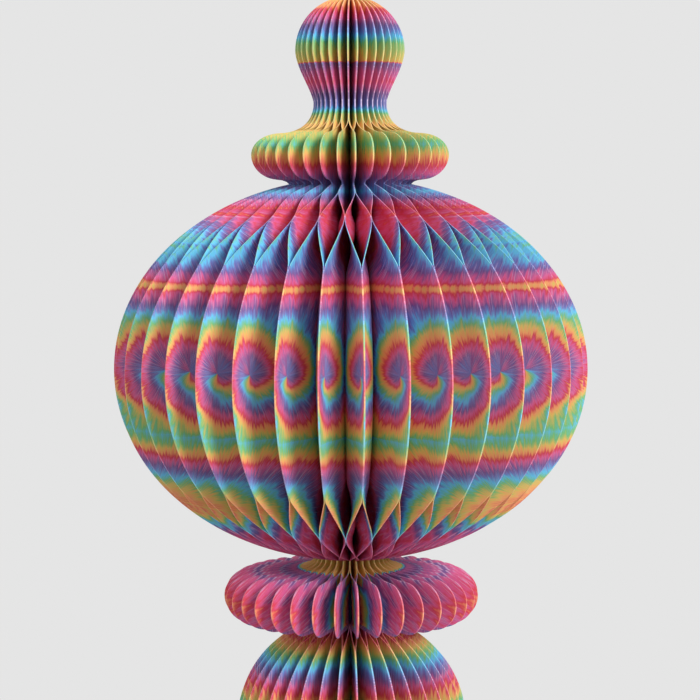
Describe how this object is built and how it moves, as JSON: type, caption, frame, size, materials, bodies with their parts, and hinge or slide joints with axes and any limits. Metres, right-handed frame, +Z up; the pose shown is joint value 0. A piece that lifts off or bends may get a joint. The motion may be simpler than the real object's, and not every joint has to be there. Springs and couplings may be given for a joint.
{
  "type": "paper finial decoration",
  "caption": "Fanned leaves of printed card round an upright spine form a knob, collar, oblate globe, second collar and ball, with a flat foot.",
  "frame": {"origin": "on the axis of the fan, at the flat foot", "axes": "+Z up along the axis; the glued ridges nearest the front lie 3 degrees from -Y towards +X"},
  "size_m": [0.1998, 0.1998, 0.3477],
  "materials": {
    "printed_card": "matte"
  },
  "bodies": {
    "root": {"sheet_01": "printed_card", "sheet_02": "printed_card", "sheet_03": "printed_card", "sheet_04": "printed_card", "sheet_05": "printed_card", "sheet_06": "printed_card", "sheet_07": "printed_card", "sheet_08": "printed_card", "sheet_09": "printed_card", "sheet_10": "printed_card", "sheet_11": "printed_card", "sheet_12": "printed_card", "sheet_13": "printed_card", "sheet_14": "printed_card", "sheet_15": "printed_card", "sheet_16": "printed_card", "sheet_17": "printed_card", "sheet_18": "printed_card", "sheet_19": "printed_card", "sheet_20": "printed_card", "sheet_21": "printed_card", "sheet_22": "printed_card", "sheet_23": "printed_card", "sheet_24": "printed_card", "sheet_25": "printed_card", "sheet_26": "printed_card", "sheet_27": "printed_card", "sheet_28": "printed_card", "sheet_29": "printed_card", "sheet_30": "printed_card", "sheet_31": "printed_card", "sheet_32": "printed_card", "sheet_33": "printed_card", "sheet_34": "printed_card", "sheet_35": "printed_card", "sheet_36": "printed_card"}
  },
  "joints": []
}
